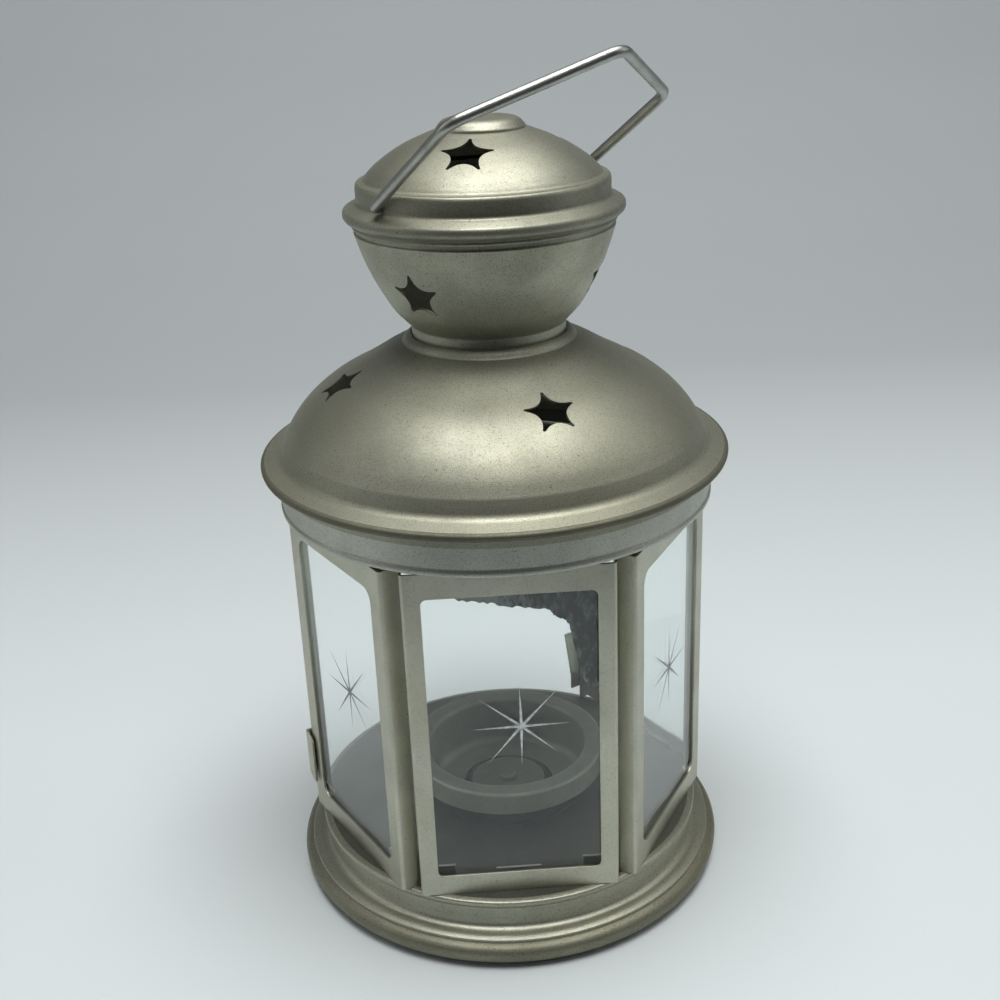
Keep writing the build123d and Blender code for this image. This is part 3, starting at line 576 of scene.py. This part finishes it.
# Vent bowl: a spun neck that stands in the ring of the dome and flares into a bowl, with a turned-in lip for
# the cap. Three stars are punched in its side.
bowl_tin = tin("bowl tin", (0.52, 0.52, 0.42), (0.09, 0.09, 0.065), rough=0.48, speck=0.7, grain=4000.0,
               rings=0.1, stain=0.24)
bowl_low, bowl_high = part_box("vent_bowl")
mouth = bowl_high[0]
neck = 17.9 * mm
bowl_foot = neck_top + 2.0 * mm
bowl_top = bowl_high[2] - 3.2 * mm
flare_shares = ((0.03, 0.02), (0.19, 0.11), (0.33, 0.195), (0.44, 0.29), (0.625, 0.47), (0.785, 0.655),
                (0.91, 0.84), (1, 1))
flare = [Vector((neck + a * (mouth - neck), bowl_foot + b * (bowl_top - bowl_foot))) for a, b in flare_shares]
bowl_line = eased([(neck, bowl_low[2]), (neck, bowl_foot, 0.8 * mm), tuple(flare[0])], 5)[:-1]
bowl_line += swept(flare)[:-1]
bowl_line += eased([tuple(flare[-1]), (mouth - 0.1 * mm, bowl_top + 0.2 * mm, 0.2 * mm),
                    (mouth - 0.4 * mm, bowl_top + 0.4 * mm, 0.2 * mm), (mouth - 0.4 * mm, bowl_high[2])], 4)
bowl_stars = [(turn, 25.2 * mm, bowl_foot + 10.65 * mm, -29) for turn in (-39.6, 74, 189.4)]
bm = punched("bowl", spun(backed(bowl_line, -sheet)), bowl_stars, star_radius, star_waist)
shown("bowl", bm, bowl_tin, "cap_sheet", "vent_bowl")

# Cap band: rolled sheet that sits over the bowl's lip, with a small bead below, a rounded flange and a plain
# band whose upper edge is turned in under the cap's dome.
cap_tin = tin("cap tin", (0.37, 0.37, 0.30), (0.08, 0.08, 0.06), rough=0.48, speck=0.7, grain=4000.0,
              rings=0.1, stain=0.24)
cap_low, cap_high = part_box("cap_band")
cap_flange = cap_high[0]
foot = cap_low[2]
band = cap_flange - 3.2 * mm
bead = cap_flange - 1.9 * mm
crown = cap_high[2]
band_line = eased([(bead, foot), (bead + 0.15 * mm, foot + 0.4 * mm, 0.3 * mm), (bead, foot + 0.85 * mm, 0.15 * mm),
                   (bead + 0.5 * mm, foot + 1.1 * mm, 0.2 * mm), (cap_flange, foot + 1.9 * mm, 1.0 * mm),
                   (cap_flange, foot + 3.7 * mm, 0.9 * mm), (cap_flange - 1.0 * mm, foot + 4.25 * mm, 0.6 * mm),
                   (band, foot + 5.3 * mm, 0.6 * mm), (band, crown - 0.05 * mm, 1.5 * mm),
                   (band - 1.6 * mm, crown), (band - 3.4 * mm, crown)], 9)
shown("cap.band", spun(backed(band_line, -sheet)), cap_tin, "cap_sheet", "cap_band")

# Cap dome: spun sheet that sits on the band's turned-in edge, with a flat seat for the button. Three stars
# are punched in it.
top_low, top_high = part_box("cap_dome")
foot = top_low[2]
edge = top_high[0]
seat = top_high[2]
crown_shares = ((0, 0), (0.11, 0.19), (0.24, 0.36), (0.38, 0.52), (0.57, 0.7), (0.79, 0.86), (1, 1))
start = Vector((edge - 1.4 * mm, foot + 1.0 * mm))
end = Vector((10.4 * mm, seat))
rise = [Vector((start.x + a * (end.x - start.x), start.y + b * (end.y - start.y))) for a, b in crown_shares]
top_line = eased([(edge, foot + 0.03 * mm), (edge - 0.9 * mm, foot + 0.3 * mm, 0.8 * mm), tuple(rise[0])], 7)[:-1]
top_line += swept(rise) + [Vector((0, seat))]
cap_stars = [(turn, 17.8 * mm, 182.9 * mm, 63) for turn in (-13.1, 106.9, 226.9)]
bm = punched("cap dome", spun(backed(top_line, -sheet)), cap_stars, star_radius, star_waist)
shown("cap.dome", bm, cap_tin, "cap_sheet", "cap_dome")

# Button: a low round boss pressed from sheet and soldered on the flat seat of the cap. Its top is dished
# a little inside a rounded edge.
button_low, button_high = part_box("cap_button")
knob = button_high[0]
under = button_low[2]
over = button_high[2]
dish = over - 0.3 * mm
button_line = eased([(0, under), (knob, under), (knob, under + 0.5 * mm, 0.3 * mm),
                     (knob - 1.3 * mm, over - 0.5 * mm, 1.2 * mm), (knob - 3.0 * mm, over, 1.2 * mm),
                     (knob - 4.6 * mm, over - 0.05 * mm, 0.5 * mm), (knob - 5.6 * mm, dish, 0.7 * mm),
                     (0, dish)], 8)
shown("button", spun(button_line, 96), cap_tin, "cap_sheet", "cap_button")


# Bail: galvanised wire bent to two legs and a blunt peak. Its ends are turned in through holes in the cap's
# band, and it swings on them.
wire_tin = tin("wire", (0.42, 0.43, 0.40), (0.16, 0.16, 0.14), rough=0.34, speck=0.3, stain=0.25, cloud=140.0)
bail_turn = radians(-52.2)
bail_lean = radians(54.7)
wire = 1.2 * mm
hinge = next(j for j in frame["joints"] if j["name"] == "bail_hinge")
pivot = Vector(hinge["pos_m"])
half = 30.5 * mm
inside = 26.4 * mm
leg = 32.7 * mm
peak = 20.4 * mm
foot_bend = 1.7 * mm
top_bend = 3.2 * mm
across = Vector((sin(bail_turn), -cos(bail_turn), 0))
leaning = Vector((sin(bail_lean) * cos(bail_turn), sin(bail_lean) * sin(bail_turn), cos(bail_lean)))
corners = [(inside, 0), (half, 0, foot_bend), (half, leg, top_bend), (0, leg + peak, top_bend),
           (-half, leg, top_bend), (-half, 0, foot_bend), (-inside, 0)]
way = bpy.data.curves.new("bail", "CURVE")
way.dimensions = "3D"
way.bevel_depth = wire
way.bevel_resolution = 6
way.use_fill_caps = True
spline = way.splines.new("POLY")
route = [pivot + across * p.x + leaning * p.y for p in eased(corners, 10)]
spline.points.add(len(route) - 1)
for point, p in zip(spline.points, route):
    point.co = (*p, 1)
holder = bpy.data.objects.new("bail wire", way)
bpy.context.collection.objects.link(holder)
bpy.context.view_layer.update()
bm = bmesh.new()
bm.from_mesh(holder.evaluated_get(bpy.context.evaluated_depsgraph_get()).to_mesh())
bpy.data.objects.remove(holder)
bmesh.ops.remove_doubles(bm, verts=bm.verts, dist=0.002 * mm)
bmesh.ops.recalc_face_normals(bm, faces=bm.faces)
shown("wire_bail", bm, wire_tin, "wire", "bail", body="bail")


# Backdrop: a pale sheet of paper under the lantern that rises behind it, on a dark table that ends the
# reflections in front
def strip(name, line, half_width, colour):
    """A sheet along a line of places behind each other, with painted shade that makes it a little darker towards
    its far end.
    """
    bm = bmesh.new()
    row = [bm.verts.new((-half_width, y, z)) for y, z in line]
    edges = [bm.edges.new(pair) for pair in zip(row, row[1:])]
    pushed = bmesh.ops.extrude_edge_only(bm, edges=edges)
    moved = [v for v in pushed["geom"] if isinstance(v, bmesh.types.BMVert)]
    bmesh.ops.translate(bm, vec=(2 * half_width, 0, 0), verts=moved)
    bmesh.ops.recalc_face_normals(bm, faces=bm.faces)
    mesh = bpy.data.meshes.new(name)
    bm.to_mesh(mesh)
    bm.free()
    mesh.shade_smooth()
    paper = bpy.data.materials.new(name)
    paper.use_nodes = True
    n, links = paper.node_tree.nodes, paper.node_tree.links
    n["Principled BSDF"].inputs["Roughness"].default_value = 0.9
    place, parts, shade = (n.new(f"ShaderNode{kind}") for kind in ("TexCoord", "SeparateXYZ", "ValToRGB"))
    links.new(place.outputs["Object"], parts.inputs[0])
    links.new(parts.outputs["Y"], shade.inputs["Fac"])
    # Painted shade: the paper darkens towards its far end, where less light reaches it.
    shade.color_ramp.elements[0].position = 0.06
    shade.color_ramp.elements[0].color = (*colour, 1)
    shade.color_ramp.elements[1].position = 0.42
    shade.color_ramp.elements[1].color = (*(0.71 * c for c in colour), 1)
    links.new(shade.outputs["Color"], n["Principled BSDF"].inputs["Base Color"])
    mesh.materials.append(paper)
    spread = bpy.data.objects.new(name, mesh)
    bpy.context.collection.objects.link(spread)
    spread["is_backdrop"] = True


paper_line = ((-0.24, 0), (0.42, 0), (0.5, 0.006), (0.58, 0.025), (0.66, 0.07), (0.72, 0.14), (0.75, 0.24),
              (0.76, 0.34))
strip("paper", paper_line, 1.3, (0.60, 0.645, 0.65))
strip("table", ((-2.5, -0.002), (2.5, -0.002)), 2.5, (0.035, 0.032, 0.028))

# Light: a broad soft lamp overhead and a little in front, weak ones at the right and the left, and a dim
# bluish room.
world = bpy.data.worlds.new("room")
world.use_nodes = True
world.node_tree.nodes["Background"].inputs[0].default_value = (0.78, 0.85, 0.90, 1)
world.node_tree.nodes["Background"].inputs[1].default_value = 0.06
bpy.context.scene.world = world
for name, place, size, power, aim in (("overhead", (0.05, -0.12, 1.1), 0.8, 14.5, (0.05, -0.12, 0)),
                                      ("window", (1.0, -0.05, 0.7), 0.8, 2.1, (0, 0, 0.12)),
                                      ("wall", (-1.0, -0.05, 0.6), 0.8, 1.7, (0, 0, 0.12))):
    lamp = bpy.data.lights.new(name, "AREA")
    lamp.shape = "SQUARE"
    lamp.size = size
    lamp.energy = power
    holder = bpy.data.objects.new(name, lamp)
    holder.location = place
    holder.rotation_euler = (Vector(aim) - Vector(place)).to_track_quat("-Z", "Y").to_euler()
    bpy.context.collection.objects.link(holder)

# Camera: where the photograph was taken from, close by and looking down on the roof, with a lens that
# covers 41 degrees.
view = bpy.data.cameras.new("view")
view.lens = 47.784
view.clip_start = 0.01
camera = bpy.data.objects.new("view", view)
camera.location = (-0.01259, -0.30032, 0.22237)
camera.rotation_euler = (radians(67.3525), radians(2.193), radians(-3.4797))
bpy.context.collection.objects.link(camera)
bpy.context.scene.camera = camera
bpy.context.scene.view_settings.view_transform = "Standard"

low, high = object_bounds()
